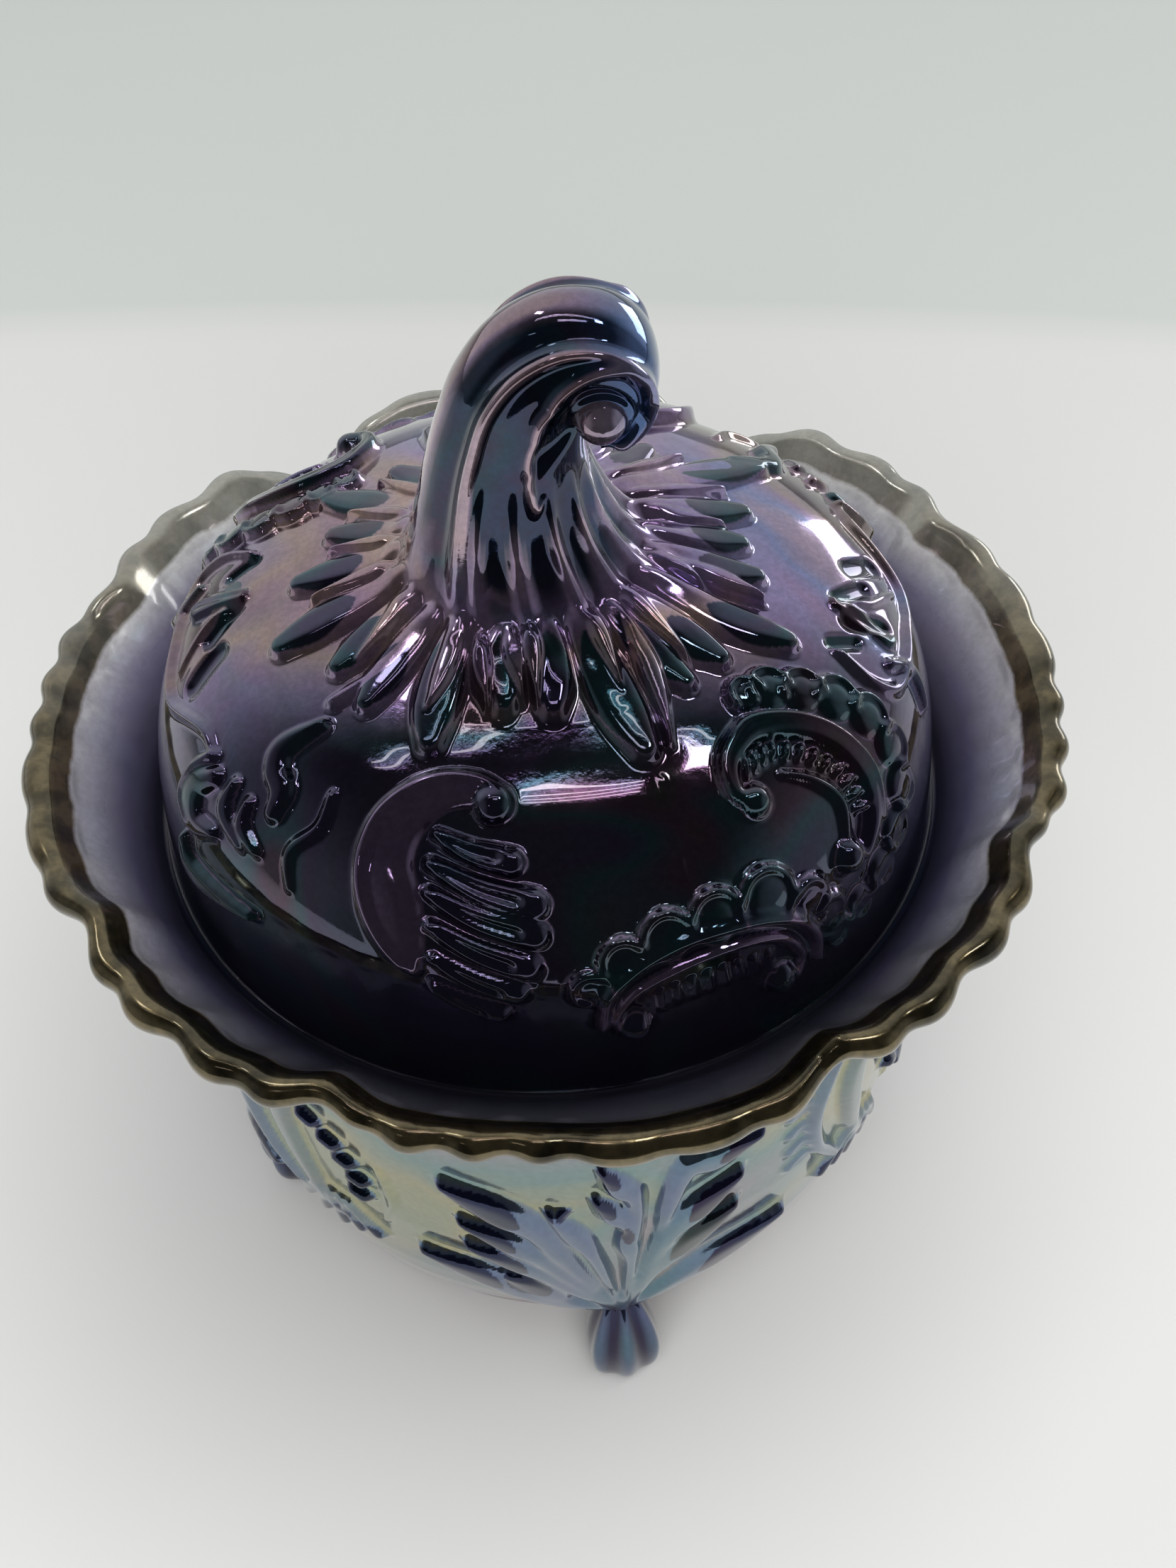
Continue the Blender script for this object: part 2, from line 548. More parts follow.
def build_lid():
    s30 = float(np.interp(30.0, LID.r, LID.t))
    s_rows = np.linspace(LID.length, s30 + 0.35, 200)
    r, z = LID.at(s_rows)
    dome = ring_points(r, z, AZ_LID)
    fin, ft = finial_rings(190)
    outer = np.concatenate([dome, fin], 0)
    on_dome = np.concatenate([np.ones(len(dome)), 1 - S((ft - 0.05) * 6)])
    rel = Relief(outer)
    lid_relief(rel)
    h, mark = rel.grid()
    h = h * on_dome[:, None]
    mark = mark * on_dome[:, None]
    a = np.degrees(AZ_LID)

    def lane(items):
        out = np.zeros(N_LID)
        for centre, width, amp in items:
            d = (a - centre + 180) % 360 - 180
            out = np.maximum(out, amp * np.exp(-(d / width) ** 2))
        return out[None, :]
    up = S((ft - 0.06) * 6)[:, None]
    ribs, root, groove = lane(RIBS), lane(ROOT_RIBS), lane(GROOVES)
    root_env = (S((ft - 0.02) * 9) * (1 - S((ft - 0.24) / 0.16)))[:, None]
    curl_out = (1 - 0.85 * S((ft - 0.62) / 0.22))[:, None]
    hf = ribs * up * curl_out - groove * up * curl_out * 0.8 + root * root_env
    # the volute on both faces: a ridge that winds in to the eye, and a sunk channel inside it
    X, Y, Z = fin[..., 0] - EYE[0], fin[..., 1], fin[..., 2] - EYE[1]
    rho, th = np.hypot(X, Z), np.degrees(np.arctan2(Z, X)) % 360
    th = np.where(th > 290, th - 360, th)
    rad0 = np.interp(th, [-66, -20, 20, 44, 66, 89, 119, 154, 189, 216, 232],
                     [4.9, 6.0, 7.0, 8.1, 8.8, 8.5, 7.9, 7.4, 9.0, 12.3, 15.6])
    rad0 = np.where(th > 236, 30.0, rad0)
    face = S((np.abs(Y) - 5.0) / 3.0)
    ridge = np.exp(-((rho - rad0) / 0.95) ** 2) * face
    chan = S((rad0 - rho) / 1.6) * face * S((rho - 3.0) / 1.2) * S((228 - th) / 20)
    reach = (S((ft - 0.12) / 0.12))[:, None]
    hf = hf + (1.25 * ridge - 0.9 * chan) * reach
    h[len(dome):] += hf
    web = np.clip(1 - ribs / 0.9 * curl_out - 1.1 * ridge * reach - root * root_env / 1.2, 0, 1)
    crown = S((ft - 0.50) / 0.2)[:, None] * (1 - face)      # the back of the curl keeps its lustre
    fm = web * up * (1 - 0.35 * crown) * 0.95
    mark[len(dome):] = np.maximum(mark[len(dome):], fm)
    h = soften(h, 1, 1)
    n = ring_normals(outer)
    if (n[20, :, :] * (outer[20] - np.array([0, 0, outer[20, 0, 2]]))).sum() < 0:
        n = -n
    fade = S((LID.length - 2.0 - np.concatenate([s_rows, np.zeros(len(fin))])) / 6.0)
    tipfade = np.concatenate([np.ones(len(dome)), 1 - S((ft - 0.975) / 0.025)])
    outer = outer + n * (h * (fade * tipfade)[:, None])[..., None]
    inner = Profile([(60.0, 97.1), (55.2, 97.1), (54.9, 111.0), (53.4, 118.5), (49.8, 125.3), (44.5, 129.6),
                     (30.0, 136.0), (14.0, 140.4), (0.6, 141.5)], keep=(0, 1))
    si = np.linspace(0, inner.length, 44)[1:]
    ri, zi = inner.at(si)
    inn = ring_points(ri, zi, AZ_LID)[::-1]
    end = outer[-1].mean(0)
    P = np.concatenate([inn, outer], 0)
    att = {"relief": np.concatenate([np.zeros(inn.shape[:2]), mark]), }
    return P, np.array([0, 0, 141.5]), end, att


# Fingers round the finial's root: azimuth and arc length of the tip, half width there,
# azimuth of the root.
FINGERS = [
    (-27.4, 38.6, 3.5, -37), (-11.4, 30.4, 3.0, -16), (2.6, 31.2, 3.0, 4), (21.4, 40.6, 3.6, 20),
    (40.0, 34.0, 2.7, 36), (52.1, 35.0, 3.0, 50), (67.0, 42.0, 3.2, 62), (83.5, 35.4, 3.0, 80),
    (95.5, 33.6, 2.9, 97), (108.5, 36.5, 3.1, 112), (125.0, 47.0, 3.6, 128), (144.0, 34.0, 3.2, 146),
    (164.0, 40.5, 3.6, 163), (-176.0, 33.0, 3.2, -178), (-158.0, 42.0, 3.6, -160), (-140.0, 34.0, 3.2, -142),
    (-124.0, 40.0, 3.3, -125), (-109.5, 34.5, 3.2, -112), (-93.0, 38.0, 3.2, -96), (-75.8, 42.0, 3.4, -80),
    (-60.8, 36.0, 3.0, -66), (-47.0, 37.0, 3.0, -52),
]
# Pale blades between them: (azimuth, arc length) from root to point.
BLADES = [
    [(-85.1, 12.8), (-65.1, 20.6), (-57.2, 30.5)], [(-53.1, 10.5), (-38.1, 17.0), (-32.2, 25.7), (-31.1, 31.0)],
    [(-26.0, 17.5), (-21.0, 23.0), (-16.2, 28.0)], [(-16.0, 14.0), (-10.5, 20.0), (-6.0, 26.4)],
    [(-9.0, 12.0), (-3.5, 19.0), (-1.7, 27.4)], [(30.0, 12.0), (25.5, 19.0), (23.0, 27.0)],
    [(40.0, 18.0), (33.0, 28.0), (27.0, 38.0)], [(58.0, 11.0), (47.5, 16.7), (45.0, 29.0)],
    [(95.0, 12.0), (80.0, 17.0), (72.0, 25.0)], [(78.0, 20.0), (77.0, 27.0), (75.5, 34.0)],
    [(112.0, 14.0), (104.0, 21.0), (101.0, 29.0)], [(128.0, 14.0), (119.0, 24.0), (116.5, 33.0)],
    [(146.0, 13.0), (136.0, 23.0), (134.0, 33.0)], [(162.0, 14.0), (154.0, 22.0), (153.0, 31.0)],
    [(178.0, 13.0), (174.0, 22.0), (173.0, 31.0)], [(-166.0, 13.0), (-167.0, 22.0), (-168.0, 32.0)],
    [(-148.0, 13.0), (-149.0, 22.0), (-150.0, 31.0)], [(-130.0, 14.0), (-132.0, 23.0), (-132.5, 31.0)],
    [(-116.0, 14.0), (-117.5, 23.0), (-117.0, 31.0)], [(-100.0, 14.0), (-101.5, 22.0), (-101.5, 31.0)],
    [(-88.0, 16.0), (-86.0, 24.0), (-84.5, 33.0)],
]


def lobe(rel, T, a0, s0, rad, heading, mark):
    """A scallop: a low pad with a beaded outer edge, facing heading (degrees, 0 = +azimuth,
    90 = down the dome)."""
    rr = LID.at(s0)[0]
    out = []
    for k in range(9):
        w = math.radians(heading - 105 + 210 * k / 8)
        out.append((a0 + math.degrees(rad * math.cos(w) / rr), s0 + rad * math.sin(w)))
    rel.add(T([(a0, s0)]), rad * 1.12, 1.25, "pillow", mark=mark)
    rel.add(T(out), 0.62, 2.0, "round", fine=3, mark=0.45)


def lid_relief(rel):
    for az, s, rad, root in FINGERS:
        s0 = 14.0
        steps = np.linspace(0, 1, 6)
        pts = [on_lid(root + (az - root) * t ** 1.3, s0 + (s - rad - s0) * t) for t in steps]
        rad_ = np.array([1.7, 2.6, 3.3, 3.7, 3.5, 2.3]) * (rad / 3.2)
        rel.add(pts, rad_, 1.8, "pillow", tip=(0.14 if abs(az) < 45 else 0.50, 0.88, 0.5))
    for pts in BLADES:
        P3 = [on_lid(a, s) for a, s in pts]
        w = [0.8, 1.9, 0.4] if len(pts) == 3 else [0.8, 1.7, 1.9, 0.4]
        rel.add(P3, w, 2.7, "pillow", fine=8)

    for turn in (0, 180):
        def T(pts):
            return [on_lid(a + turn, s) for a, s in pts]
        # crescent: broad smooth blade with a rolled outer edge and a ball at its head
        mid = [(-12.5, 41.4), (-16.8, 41.0), (-21.5, 42.0), (-25.1, 44.7), (-27.0, 48.5), (-27.1, 53.2),
               (-24.9, 58.2), (-22.4, 62.6), (-20.0, 66.2)]
        rel.add(T(mid), [1.8, 2.4, 3.0, 3.5, 3.9, 4.6, 5.3, 3.8, 1.0], 1.7, "pillow", mark=0.21)
        rel.add(T([(-9.0, 40.6), (-14.4, 39.2), (-21.2, 39.7), (-26.6, 42.2), (-30.2, 46.4), (-30.9, 51.0),
                   (-30.0, 55.2), (-27.8, 59.2), (-25.0, 62.6), (-21.6, 65.6)]),
                [0.9, 1.2, 1.3, 1.4, 1.4, 1.4, 1.3, 1.2, 1.0, 0.6], 2.4, "round", mark=0.21)
        rel.add(T([(-10.6, 42.2)]), 2.9, 2.9, "round", mark=0.8)
        # shell of flutes with a beaded edge
        flutes = [((-20.0, 47.2), (-6.9, 49.9), 1.9), ((-20.0, 51.2), (-3.4, 55.4), 2.2),
                  ((-19.4, 55.0), (-3.4, 59.4), 2.1), ((-18.6, 59.2), (-4.6, 63.9), 2.1),
                  ((-18.0, 63.6), (-6.2, 68.0), 1.9), ((-17.6, 68.2), (-8.6, 71.8), 1.7)]
        for (a0, s0), (a1, s1), rd in flutes:
            rel.add(T([(a0, s0), ((a0 + a1) / 2, (s0 + s1) / 2 + 0.3), (a1, s1)]), [rd * 0.45, rd * 0.9, rd * 1.15],
                    1.9, "pillow", mark=0.75)
            rel.add(T([(a0 + 1.5, s0 + 0.4), ((a0 + a1) / 2, (s0 + s1) / 2 + 0.3), (a1 - 2.4, s1 - 0.5)]),
                    [0.35, 0.65, 0.75], -1.2, "round")
        # arch: two ridges, ticks between them, a ball at each end and a scalloped edge
        for a0, s0, rd in ((3.6, 68.0, 2.6), (8.4, 64.4, 3.1), (14.8, 62.4, 3.5), (22.2, 61.9, 3.7), (30.4, 62.6, 4.1),
                           (36.8, 66.4, 2.9), (39.6, 71.0, 2.8), (40.6, 75.8, 2.4)):
            lobe(rel, T, a0, s0, rd, math.degrees(math.atan2(s0 - 74.0, (a0 - 22.0) * 0.95)), 0.8)
        rel.add(T([(4.9, 74.6), (6.1, 69.0), (9.9, 65.5), (15.2, 63.6), (21.1, 63.4), (28.3, 64.8), (33.9, 68.0),
                   (36.6, 72.6), (36.6, 77.0)]), 1.25, 2.4, mark=0.21)
        rel.add(T([(7.4, 77.0), (6.9, 73.8), (8.6, 70.4), (12.0, 68.2), (18.9, 66.8), (26.3, 67.4), (31.4, 69.8),
                   (34.2, 74.6), (33.4, 78.6)]), 0.9, 1.9, mark=0.21)
        for a0, s0 in ((9.4, 76.2), (30.6, 77.6)):
            rel.add(T([(a0, s0)]), 2.6, 2.8, "round", mark=0.8)
        for k in range(9):
            a0 = 10.5 + 2.35 * k
            s0 = 70.6 + 0.014 * (a0 - 20) ** 2
            rel.add(T([(a0, s0), (a0 + 0.3, s0 + 3.2)]), 0.5, 0.9)
        # scroll: a wide band with ticks on its inner edge, an eye, a ball, and a wavy ribbon outside
        rel.add(T([(34.6, 51.0), (33.0, 48.0), (34.6, 44.6), (38.4, 42.9), (44.2, 42.6), (50.6, 45.9), (54.2, 51.2),
                   (54.5, 58.0), (52.0, 63.4), (48.0, 66.6)]), [0.8, 1.3, 1.7, 2.0, 2.2, 2.3, 2.3, 2.2, 1.9, 1.4], 2.1,
                "pillow", mark=0.85)
        rel.add(T([(33.9, 50.6), (32.0, 47.6), (33.6, 43.8), (38.0, 41.6), (44.4, 41.0), (51.8, 44.8), (56.0, 51.0),
                   (56.4, 58.4), (53.4, 64.8)]), 0.75, 2.4, mark=0.21)
        rel.add(T([(35.2, 50.2)]), 2.5, 2.7, "round", mark=0.7)
        rel.add(T([(45.2, 65.2)]), 2.7, 2.9, "round", mark=0.8)
        rel.add(T([(42.6, 49.6), (46.3, 53.0), (48.3, 57.7), (46.5, 62.5)]), [0.4, 0.8, 0.9, 0.6], 1.4)
        for k in range(12):
            t = k / 11
            a0 = np.interp(t, [0, 0.25, 0.5, 0.75, 1], [38.0, 44.2, 49.6, 52.4, 51.6])
            s0 = np.interp(t, [0, 0.25, 0.5, 0.75, 1], [45.0, 45.0, 49.2, 55.0, 60.8])
            rel.add(T([(a0, s0), (a0 - 1.6, s0 + 2.0 - 2.2 * t)]), 0.42, 2.3)
        for a0, s0, rd in ((48.6, 38.2, 2.4), (53.4, 40.0, 3.0), (58.0, 43.8, 3.1), (61.4, 48.4, 3.2), (63.2, 53.8, 3.1),
                           (62.8, 59.4, 3.0), (60.4, 64.8, 3.0), (56.0, 69.0, 2.8), (51.4, 72.4, 2.7), (46.0, 74.4, 2.4)):
            lobe(rel, T, a0, s0, rd, math.degrees(math.atan2(s0 - 56.0, (a0 - 46.0) * 0.9)), 1.0)
        # leaf outline with pits, and the lower scrolls, on the flanks
        rel.add(T([(-108.1, 45.7), (-110.1, 52.3), (-107.4, 57.2), (-99.9, 58.6), (-93.6, 59.0), (-88.8, 59.8),
                   (-82.2, 59.6), (-71.7, 54.6), (-66.4, 54.6)]), [0.5, 0.9, 1.0, 1.0, 1.0, 1.0, 1.0, 0.9, 0.5], 1.3)
        rel.add(T([(-86.3, 57.2), (-90.4, 53.3), (-93.0, 50.8), (-94.4, 46.7)]), 0.6, 0.9)
        for a0, s0, a1, s1, rd in ((-106.6, 45.4, -103.6, 49.0, 1.4), (-99.4, 47.6, -96.6, 53.6, 1.9),
                                   (-94.0, 46.0, -88.9, 50.8, 1.7), (-84.6, 49.3, -81.5, 54.4, 2.1)):
            rel.add(T([(a0, s0), (a1, s1)]), rd, -1.0, "round", mark=1.0)
        rel.add(T([(-51.6, 40.3), (-54.6, 46.0), (-52.9, 48.9), (-49.4, 50.7), (-48.4, 53.8)]),
                [1.2, 2.2, 2.4, 2.2, 1.6], 1.8, "pillow", mark=0.9)
        rel.add(T([(-51.6, 20.3), (-50.2, 27.8), (-54.0, 37.0)]), [0.6, 0.9, 1.2], 1.4)
        rel.add(T([(-62.4, 56.6), (-65.2, 60.4), (-62.6, 64.4), (-57.4, 62.8)]), [1.8, 2.7, 2.5, 1.2], 1.5, "pillow",
                mark=0.95)
        rel.add(T([(-65.2, 54.9), (-67.4, 59.0), (-67.2, 63.2), (-63.4, 65.4)]), 0.9, 1.9)
        rel.add(T([(-58.0, 54.6), (-57.1, 58.7), (-51.4, 60.9)]), [1.0, 1.9, 1.0], 1.4, "pillow", mark=0.4)
        rel.add(T([(-53.6, 55.0), (-52.6, 58.3), (-48.3, 60.0)]), [0.9, 1.6, 0.9], 1.4, "pillow", mark=0.9)
        rel.add(T([(-63.6, 68.5), (-62.1, 71.6), (-57.7, 72.0), (-46.2, 69.6)]), [1.3, 2.1, 2.4, 0.9], 1.9, "pillow",
                mark=0.6)
        rel.add(T([(83.7, 45.1), (81.5, 54.3)]), [1.4, 2.0], 1.4, "leaf", mark=0.9)
        rel.add(T([(76.0, 55.0), (79.0, 60.0), (76.0, 65.0)]), [1.0, 1.6, 0.8], 1.3, "pillow", mark=0.6)
        rel.add(T([(-41.0, 47.0), (-40.0, 52.0), (-43.0, 57.0), (-41.0, 62.0)]), [0.5, 0.9, 0.9, 0.5], 1.0)
        # faint mould seam
        rel.add(T([(22.5, 41.5), (19.5, 54.3), (20.1, 60.0), (20.6, 84.0)]), 0.30, 0.30)


P, pa, pb, att = build_lid()
u = np.linspace(0.05, np.pi - 0.05, 44)
v = np.arange(72) / 72 * 2 * np.pi
cu = np.sign(np.cos(u)) * np.abs(np.cos(u)) ** 0.75
eye = np.stack([EYE[0] + 4.5 * np.sin(u)[:, None] ** 0.85 * np.cos(v)[None],
                np.broadcast_to(-10.7 * cu[:, None], (44, 72)),
                EYE[1] - 0.2 + 4.5 * np.sin(u)[:, None] ** 0.85 * np.sin(v)[None]], -1)
lid = make_mesh("lid_glass_piece", [
    (P, pa, pb, att, 0),
    (eye[::-1], np.array([EYE[0], 10.75, EYE[1] - 0.2]), np.array([EYE[0], -10.75, EYE[1] - 0.2]),
     {"relief": np.full((44, 72), 0.08)}, 0)], [MAT_LID])
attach(lid, "cover")
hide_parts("lid")

# ------------------------------------------------------------------ bowl
N_BOWL = 1000
AZ_BOWL = np.arange(N_BOWL) / N_BOWL * 2 * np.pi
OUT = [(0.5, 11.6), (20, 11.6), (38, 11.3), (42.3, 10.6), (44.5, 10.3), (46.3, 11.0), (47.1, 12.8), (47.6, 15.0),
       (49.4, 18.2), (51.6, 22.0), (54.0, 28.5), (55.8, 35.0), (57.9, 45.0), (59.6, 54.0), (60.6, 63.0),
       (61.4, 72.0), (62.0, 80.0), (62.4, 87.0), (63.1, 93.0), (64.3, 97.4), (66.6, 100.9), (70.3, 104.4),
       (74.4, 107.2), (76.9, 108.3), (78.6, 110.0), (78.7, 112.0), (77.3, 113.4), (75.2, 113.1), (73.3, 111.2),
       (70.8, 108.7), (67.4, 105.2), (64.0, 101.8), (61.7, 98.9), (60.75, 97.2), (60.7, 97.0), (56.4, 97.0),
       (56.2, 90.0), (56.0, 74.0), (54.4, 56.0), (51.4, 39.0), (47.0, 26.0), (42.0, 20.0), (33.0, 16.2), (20.0, 15.5),
       (0.5, 15.4)]
BOWL = Profile(OUT, soft=7, keep=(34, 35))


def ruffle(az_deg):
    a = (az_deg - 1.0 + 45.0) % 90.0 - 45.0

    def pinch(d, w):
        return np.exp(-(d / w) ** 2)
    deep = pinch(np.abs(a) - 27.0, 4.2)
    small = sum(pinch(a - c, 2.3) * w for c, w in ((-21.0, 1.0), (-14.2, 1.0), (-7.6, 1.0), (-1.4, 0.8), (8.0, 0.5), (17.5, 0.6)))
    large = pinch(45.0 - np.abs(a), 3.2) * (np.abs(a) >= 27) + 0.7 * pinch(np.abs(a) - 36.0, 2.4)
    b = (az_deg + 180.0) % 360.0 - 180.0
    # two deep folds in the far side of the rim, and the near side hangs a little
    fold = pinch(b + 151.0, 7.0) + 0.85 * pinch(b - 153.0, 8.0)
    hang = S((b + 6.0) / 16.0) * (1 - S((b - 26.5) / 3.5))
    return (-0.7 * small - 1.4 * large - 2.7 * deep + 0.7 - 3.2 * fold), \
        (1.5 * deep + 0.4 * large + 0.25 * small - 0.6 - 7.6 * fold - 2.2 * hang), \
        (0.8 * small + 0.7 * large + 0.7 * deep)


def on_bowl(az, z):
    zz = np.array([p[1] for p in OUT[6:20]])
    rr = np.array([p[0] for p in OUT[6:20]])
    r = np.interp(z, zz, rr)
    a = math.radians(az)
    return np.array([r * math.sin(a), -r * math.cos(a), z])


def bowl_relief(rel):
    root = (7.0, 22.0)
    # leaf: tip azimuth and height, a point on its way, tip half width, where the dark tip starts
    fronds = [
        ((-18.6, 74.6), (-4.5, 58.0), 2.7, 0.55), ((-17.0, 63.4), (-4.0, 48.0), 2.1, 0.66),
        ((-16.6, 55.2), (-3.5, 41.0), 2.2, 0.62), ((-24.4, 47.6), (-7.5, 33.0), 2.9, 0.58),
        ((-11.2, 43.6), (-3.0, 31.0), 2.7, 0.60), ((-4.2, 68.4), (2.2, 50.0), 1.6, 0.97),
        ((2.4, 71.8), (7.4, 58.0), 1.7, 0.74), ((3.4, 80.8), (8.2, 66.0), 1.7, 0.78),
        ((26.4, 78.4), (14.0, 72.0), 2.4, 0.70), ((23.6, 68.4), (12.0, 52.0), 2.5, 0.62),
        ((23.2, 58.4), (10.5, 40.0), 2.8, 0.55), ((33.8, 42.6), (15.0, 32.0), 3.0, 0.52),
        ((6.6, 62.6), (7.6, 45.0), 1.4, 0.80),
    ]
    for k in range(4):
        t = 90.0 * k

        def B(pts):
            return [on_bowl(a + t, z) for a, z in pts]
        for tip, via, wide, dark in fronds:
            pts = B([root, via, ((via[0] + tip[0]) / 2 + 0.25 * (via[0] - tip[0]) * 0.2, (via[1] + tip[1]) / 2 + 1.0),
                     tip])
            rel.add(pts, [1.2, wide * 0.95, wide * 1.65, wide * 0.5], 2.2, "pillow", mark=0.44, tip=(dark - 0.04, 0.95, 0.7))
        rel.add(B([(-2.0, 67.5)]), 1.3, 1.3, "round", mark=1.0)
        rel.add(B([(2.0, 17.0), (7.0, 15.8), (12.0, 17.0)]), 1.3, 1.0, "round", mark=0.8)
        # medallion between the feet: a long scroll, a pale blade, beads and a fluted shell
        c = 90.0 - 42.5
        rel.add(B([(c - 6.0, 92), (c - 9.5, 82), (c - 11.0, 71), (c - 9.0, 60), (c - 4.0, 51)]),
                [1.0, 1.6, 1.9, 1.7, 1.2], 2.2, "round", mark=0.35)
        rel.add(B([(c + 1.0, 90), (c - 2.8, 76), (c - 1.5, 62), (c + 1.5, 50)]), [1.4, 2.9, 2.6, 1.4], 1.8, "pillow", mark=0.2)
        for a0, z in ((3.4, 79.0), (6.3, 74.8), (8.2, 70.6), (9.8, 66.0), (9.4, 61.0)):
            rel.add(B([(c + a0 - 0.8, z + 0.6), (c + a0 + 0.8, z - 0.6)]), 1.75, 2.0, "pillow", mark=1.0)
        for q in range(5):
            rel.add(B([(c - 0.5 + q * 1.6, 55 - q * 0.4), (c - 5.0 + q * 3.6, 44.5 - 1.2 * (2 - abs(q - 2)))]),
                    [0.9, 1.8], 1.8, "pillow", mark=0.25, tip=(0.55, 0.85, 0.75))
        for q in range(6):
            rel.add(B([(c - 13.2 + 0.4 * q, 88 - 5.8 * q), (c - 15.8 + 0.5 * q, 86.5 - 5.8 * q)]), 1.9, 1.4, "leaf",
                    mark=0.3)
        rel.add(B([(c + 13.5, 70.0), (c + 14.5, 60.0), (c + 12.0, 52.0)]), [0.7, 1.0, 0.7], 0.9)
        rel.add(B([(-39.0 + 0.4, 49.0)]), 2.0, 1.9, "round", mark=0.9)


def build_bowl():
    s = BOWL.knots
    rows = np.concatenate([
        np.linspace(0, s[3], 14, endpoint=False), np.linspace(s[3], s[8], 20, endpoint=False),
        np.linspace(s[8], s[18], 170, endpoint=False), np.linspace(s[18], s[22], 26, endpoint=False),
        np.linspace(s[22], s[29], 44, endpoint=False), np.linspace(s[29], s[35], 30, endpoint=False),
        np.linspace(s[35], s[44], 40)])
    r, z = BOWL.at(rows)
    up = S((rows - s[18]) / (s[24] - s[18])) ** 1.2
    down = 1 - S((rows - s[28]) / (s[33] - s[28])) ** 0.85
    share = np.where(rows < s[26], up, down)
    dr, dz, thin = ruffle(np.degrees(AZ_BOWL))
    P = ring_points(r, z, AZ_BOWL)
    rad = r[:, None] + share[:, None] * dr[None]
    P[..., 0] = rad * np.sin(AZ_BOWL)[None]
    P[..., 1] = -rad * np.cos(AZ_BOWL)[None]
    P[..., 2] += share[:, None] * dz[None]
    wall = (rows > s[7]) & (rows < s[18])
    rel = Relief(P[wall])
    bowl_relief(rel)
    h, mark = rel.grid()
    h = soften(h, 1, 1)
    n = ring_normals(P)
    k = np.where(wall)[0]
    if (n[k[10]] * P[k[10]] * [1, 1, 0]).sum() < 0:
        n = -n
    edge = S((rows[k] - rows[k[0]]) / 3.0) * S((rows[k[-1]] - rows[k]) / 3.0)
    P[k] += n[k] * (h * edge[:, None])[..., None]
    # the bead swells between its nips
    bead = np.where((rows > s[22]) & (rows < s[29]), S((rows - s[22]) / 2.0) * S((s[29] - rows) / 2.0), 0.0)
    P += n * (bead[:, None] * (0.45 - 1.0 * thin[None]))[..., None]
    H = np.zeros(P.shape[:2])
    H[k] = mark * edge[:, None]
    gilt = np.where(rows < s[26], S((rows - s[23] + 1.0) / 1.2), 1 - S((rows - s[28] + 0.4) / 3.4))
    gilt = np.where(rows > s[30], 0.0, gilt)
    skin = np.where(rows < s[23], 1.0, 0.0) * np.ones_like(rows)
    deep = np.clip((rows - s[27]) / (s[34] - s[27]), 0, 1)
    one = np.ones((1, N_BOWL))
    return P, {"relief": H, "gilt": gilt[:, None] * one, "skin": skin[:, None] * one, "deep": deep[:, None] * one}


def foot_rings(az):
    """A bud foot: a rounded pad under the corner of the cup with three ridges outside."""
    K, M = 84, 120
    t = np.linspace(0.03, 1, K)
    zt = np.array([0.0, 0.6, 2.2, 5.0, 9.0, 13.0, 17.0, 20.5, 23.0])
    rt = np.array([3.6, 4.9, 5.9, 6.5, 6.6, 6.0, 4.8, 3.2, 1.2])
    z = 23.0 * (1 - t)
    fine = curve3(np.column_stack([zt, rt, 0 * rt]), 14)
    r = np.interp(z, fine[:, 0], fine[:, 1])
    w = np.arange(M) / M * 2 * np.pi
    crest = sum(np.exp(-(((np.degrees(w) - c + 180) % 360 - 180) / 15) ** 2) for c in (0, 46, -46))
    ridge = 1.5 * crest - 0.7
    body = np.sin(np.pi * np.clip(z / 23.0, 0, 1)) ** 0.5
    rad = r[:, None] + ridge[None] * body[:, None]
    cx = 50.0 + 0.6 * np.sin(np.pi * z / 23.0)
    rx = cx[:, None] + rad * np.cos(w)[None] * 0.98
    ty = rad * np.sin(w)[None] * 1.02
    a = math.radians(az)
    x = rx * math.sin(a) + ty * math.cos(a)
    y = -rx * math.cos(a) + ty * math.sin(a)
    return np.stack([x, y, np.broadcast_to(z[:, None], x.shape)], -1), 0.95 - 0.34 * crest[None] * body[:, None]


P, att = build_bowl()
parts = [(P, np.array([0, 0, 11.6]), np.array([0, 0, 15.4]), att, 0)]
for k in range(4):
    F, tint = foot_rings(7.0 + 90.0 * k)
    one = np.ones(F.shape[:2])
    parts.append((F[::-1], F[-1].mean(0), F[0].mean(0), {"relief": tint[::-1] * one, "skin": one}, 0))
bowl = make_mesh("bowl_glass_piece", parts, [MAT_BOWL])
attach(bowl, "dish")
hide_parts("bowl")

for name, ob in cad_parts.items():
    ob.data.materials.clear()
    ob.data.materials.append(MAT_LID if name == "lid" else MAT_BOWL)

# ------------------------------------------------------------------ floor
me = bpy.data.meshes.new("floor")
xs = np.linspace(-3.0, 3.0, 13)
V = [(x, max(y, -0.42 + 0.02 * (y + 3.0)), 0.0) for y in xs for x in xs]
F = [(j * 13 + i, j * 13 + i + 1, (j + 1) * 13 + i + 1, (j + 1) * 13 + i) for j in range(12) for i in range(12)]
me.from_pydata(V, [], F)
me.materials.append(MAT_FLOOR)
floor = bpy.data.objects.new("floor", me)
scene.collection.objects.link(floor)


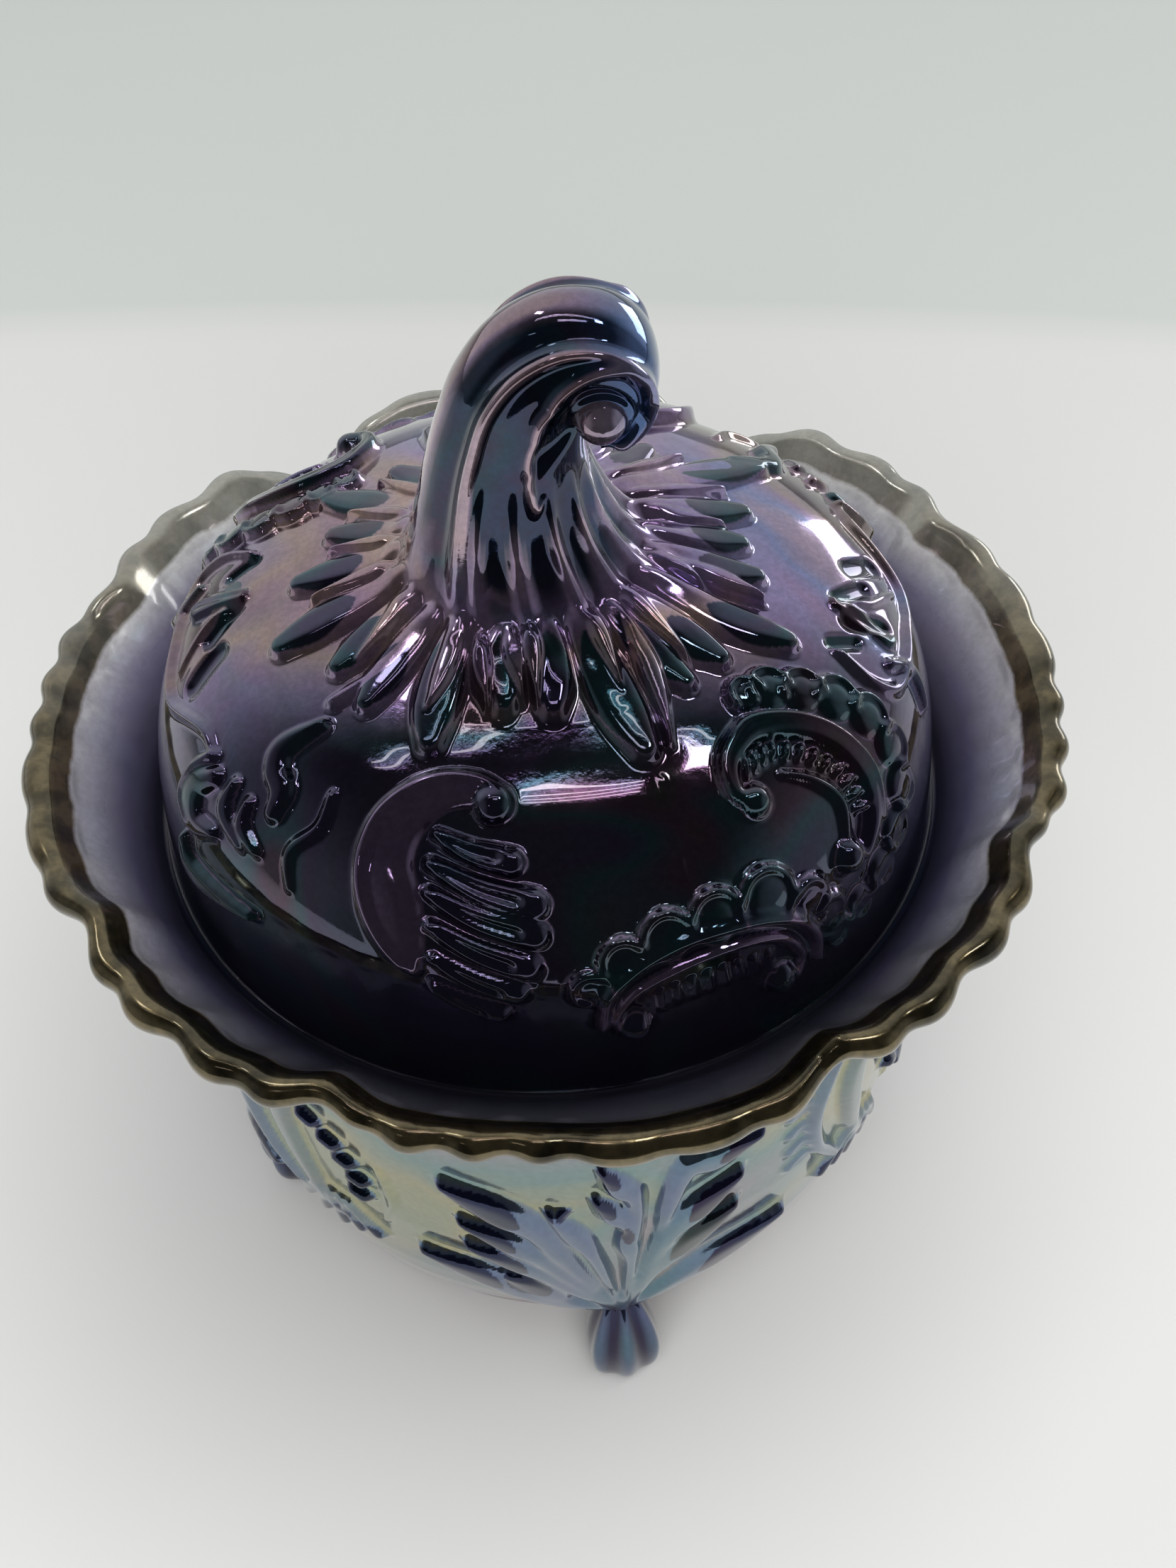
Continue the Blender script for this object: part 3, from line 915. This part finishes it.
# ------------------------------------------------------------------ lights
def area(name, loc, target, size, power, colour=(1, 1, 1), size_y=None, glossy=True):
    li = bpy.data.lights.new(name, "AREA")
    li.shape = "RECTANGLE"
    li.size = size
    li.size_y = size_y or size
    li.energy = power
    li.color = colour
    ob = bpy.data.objects.new(name, li)
    ob.location = loc
    d = Vector(target) - Vector(loc)
    q = d.to_track_quat("-Z", "Y")
    ob.rotation_euler = q.to_euler()
    ob.visible_camera = False
    ob.visible_glossy = glossy
    ob.visible_diffuse = not glossy      # the small lamps only make highlights
    scene.collection.objects.link(ob)
    return ob


area("fill_above", (0.28, -0.24, 1.9), (0.03, -0.04, 0), 1.8, 31.5, (1.0, 1.0, 0.99), glossy=False)
area("fill_front", (-0.15, -1.45, 1.1), (0, 0.0, 0), 1.6, 26.5, (1.0, 1.0, 1.0), glossy=False)
for k in range(4):
    area("tube_%d" % k, (0.10, -0.052 - 0.033 * k, 1.30), (0.10, -0.052 - 0.033 * k, 0), 0.48, 0.21, (1.0, 0.88, 0.97),
         0.007)
for k in range(2):
    area("strip_%d" % k, (-0.02, 0.14 + 0.04 * k, 1.30), (-0.02, 0.14 + 0.04 * k, 0), 1.25, 0.36, (1.0, 0.94, 0.98),
         0.010)
area("spark_left", (-0.60, -0.62, 0.95), (-0.02, -0.05, 0.12), 0.14, 0.085, (1.0, 0.93, 0.98), 0.012)
area("lamp_right", (0.47, 0.04, 1.08), (0, 0, 0.13), 0.13, 0.75, (1, 1, 1), 0.11)
area("lamp_left", (-0.42, 0.37, 1.07), (0, 0, 0.13), 0.10, 0.45, (1, 1, 1), 0.14)
area("panel_back_right", (0.85, 0.85, 0.22), (0, 0, 0.12), 0.55, 2.2, (1, 1, 1), 0.30)

world = bpy.data.worlds.new("soft_studio")
world.use_nodes = True
wt = world.node_tree
bg = wt.nodes["Background"]


def wn(kind, **props):
    n = wt.nodes.new(kind)
    for k, v in props.items():
        setattr(n, k, v)
    return n


tc = wn("ShaderNodeTexCoord")
sep = wn("ShaderNodeSeparateXYZ")
wt.links.new(tc.outputs["Generated"], sep.inputs[0])


def wmap(sock, a0, a1, b0, b1, kind="SMOOTHSTEP"):
    n = wn("ShaderNodeMapRange", interpolation_type=kind, clamp=True)
    wt.links.new(sock, n.inputs[0])
    for i, x in enumerate((a0, a1, b0, b1)):
        n.inputs[i + 1].default_value = x
    return n.outputs[0]


def wmath(op, a, b):
    n = wn("ShaderNodeMath", operation=op)
    for sock, v in zip(n.inputs, (a, b)):
        if isinstance(v, bpy.types.NodeSocket):
            wt.links.new(v, sock)
        else:
            sock.default_value = v
    return n.outputs[0]


backward = wmap(sep.outputs[1], 0.16, 0.62, 0.030, 0.80)
left = wmap(sep.outputs[0], -0.55, -0.98, 0.0, 0.22)
right = wmap(sep.outputs[0], 0.60, 0.98, 0.0, 0.30)
light = wmath("ADD", wmath("ADD", backward, left), right)
lp = wn("ShaderNodeLightPath")
light = wmath("MULTIPLY", light, wmap(lp.outputs["Is Diffuse Ray"], 0.0, 1.0, 1.0, 0.45))
mixc = wn("ShaderNodeMix", data_type="RGBA")
wt.links.new(lp.outputs["Is Camera Ray"], mixc.inputs[0])
scale = wn("ShaderNodeMix", data_type="RGBA", blend_type="MULTIPLY")
scale.inputs[0].default_value = 1.0
scale.inputs[6].default_value = (0.96, 0.98, 1.0, 1)
comb = wn("ShaderNodeCombineXYZ")
for i in range(3):
    wt.links.new(light, comb.inputs[i])
wt.links.new(comb.outputs[0], scale.inputs[7])
wt.links.new(scale.outputs[2], mixc.inputs[6])
mixc.inputs[7].default_value = (0.60, 0.63, 0.62, 1)
wt.links.new(mixc.outputs[2], bg.inputs[0])
bg.inputs[1].default_value = 1.0
scene.world = world
scene.view_settings.view_transform = "Standard"

# ------------------------------------------------------------------ camera
cam = bpy.data.cameras.new("camera")
cam.lens = 54.03
cam.sensor_width = 36.0
cam.clip_start = 0.01
cam.clip_end = 20.0
cam_ob = bpy.data.objects.new("camera", cam)
right = Vector((0.9976388, -0.061106, -0.03135088))
up = Vector((0.06667614, 0.75230412, 0.65543329))
back = Vector((-0.01646551, -0.65597604, 0.75460209))
rot = Matrix((right, up, back)).transposed().to_4x4()
cam_ob.matrix_world = Matrix.Translation((0.0, -0.244893, 0.375826)) @ rot
scene.collection.objects.link(cam_ob)
scene.camera = cam_ob
